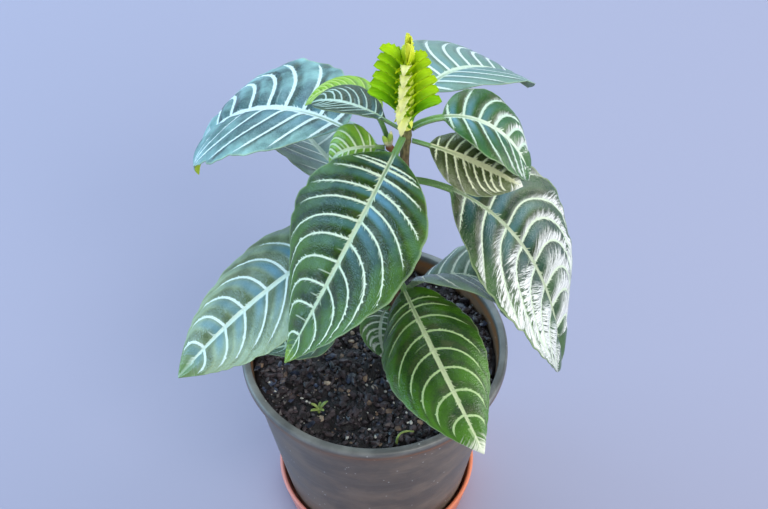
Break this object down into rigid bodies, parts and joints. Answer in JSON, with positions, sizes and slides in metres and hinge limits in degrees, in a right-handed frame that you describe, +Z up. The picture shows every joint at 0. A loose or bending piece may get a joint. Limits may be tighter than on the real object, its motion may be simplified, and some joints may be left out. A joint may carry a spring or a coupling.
{
  "type": "potted foliage plant",
  "caption": "Upright foliage plant with arching pale-veined leaves and a yellow bract head, growing in a tapered plastic pot on a saucer.",
  "frame": {"origin": "centre of the saucer's flat underside", "axes": "+Z up along the pot's axis, -Y towards the plant's front as pictured, +X to its right"},
  "size_m": [0.1851, 0.2068, 0.3113],
  "materials": {
    "saucer_plastic": "terracotta coloured matt plastic",
    "pot_plastic": "dark grey dusty nursery plastic with a worn rim",
    "potting_mix": "dark damp potting mix with bark and white grains",
    "stem": "brown ringed stem",
    "leaf": "glossy dark green blade with cream veins",
    "young_leaf": "light green young growth",
    "bract": "waxy yellow-green bracts",
    "sprout": "thin pale green sprouts"
  },
  "bodies": {
    "root": {"saucer": "saucer_plastic", "pot": "pot_plastic", "potting_mix": "potting_mix", "stem": "stem", "leaf_front_left": "leaf", "leaf_left_low": "leaf", "leaf_left_upper": "leaf", "leaf_back_left": "leaf", "leaf_young_left": "leaf", "leaf_back_right": "leaf", "leaf_upper_right": "leaf", "leaf_right_middle": "leaf", "leaf_right_large": "leaf", "leaf_front_right": "leaf", "leaf_right_low": "leaf", "leaf_front_small": "leaf", "leaf_left_lowest": "leaf", "side_shoot": "young_leaf", "leaf_shoot_arched": "young_leaf", "leaf_shoot_curled": "young_leaf", "bract_head": "bract", "seedling": "sprout", "weed_sprouts": "sprout"}
  },
  "joints": []
}
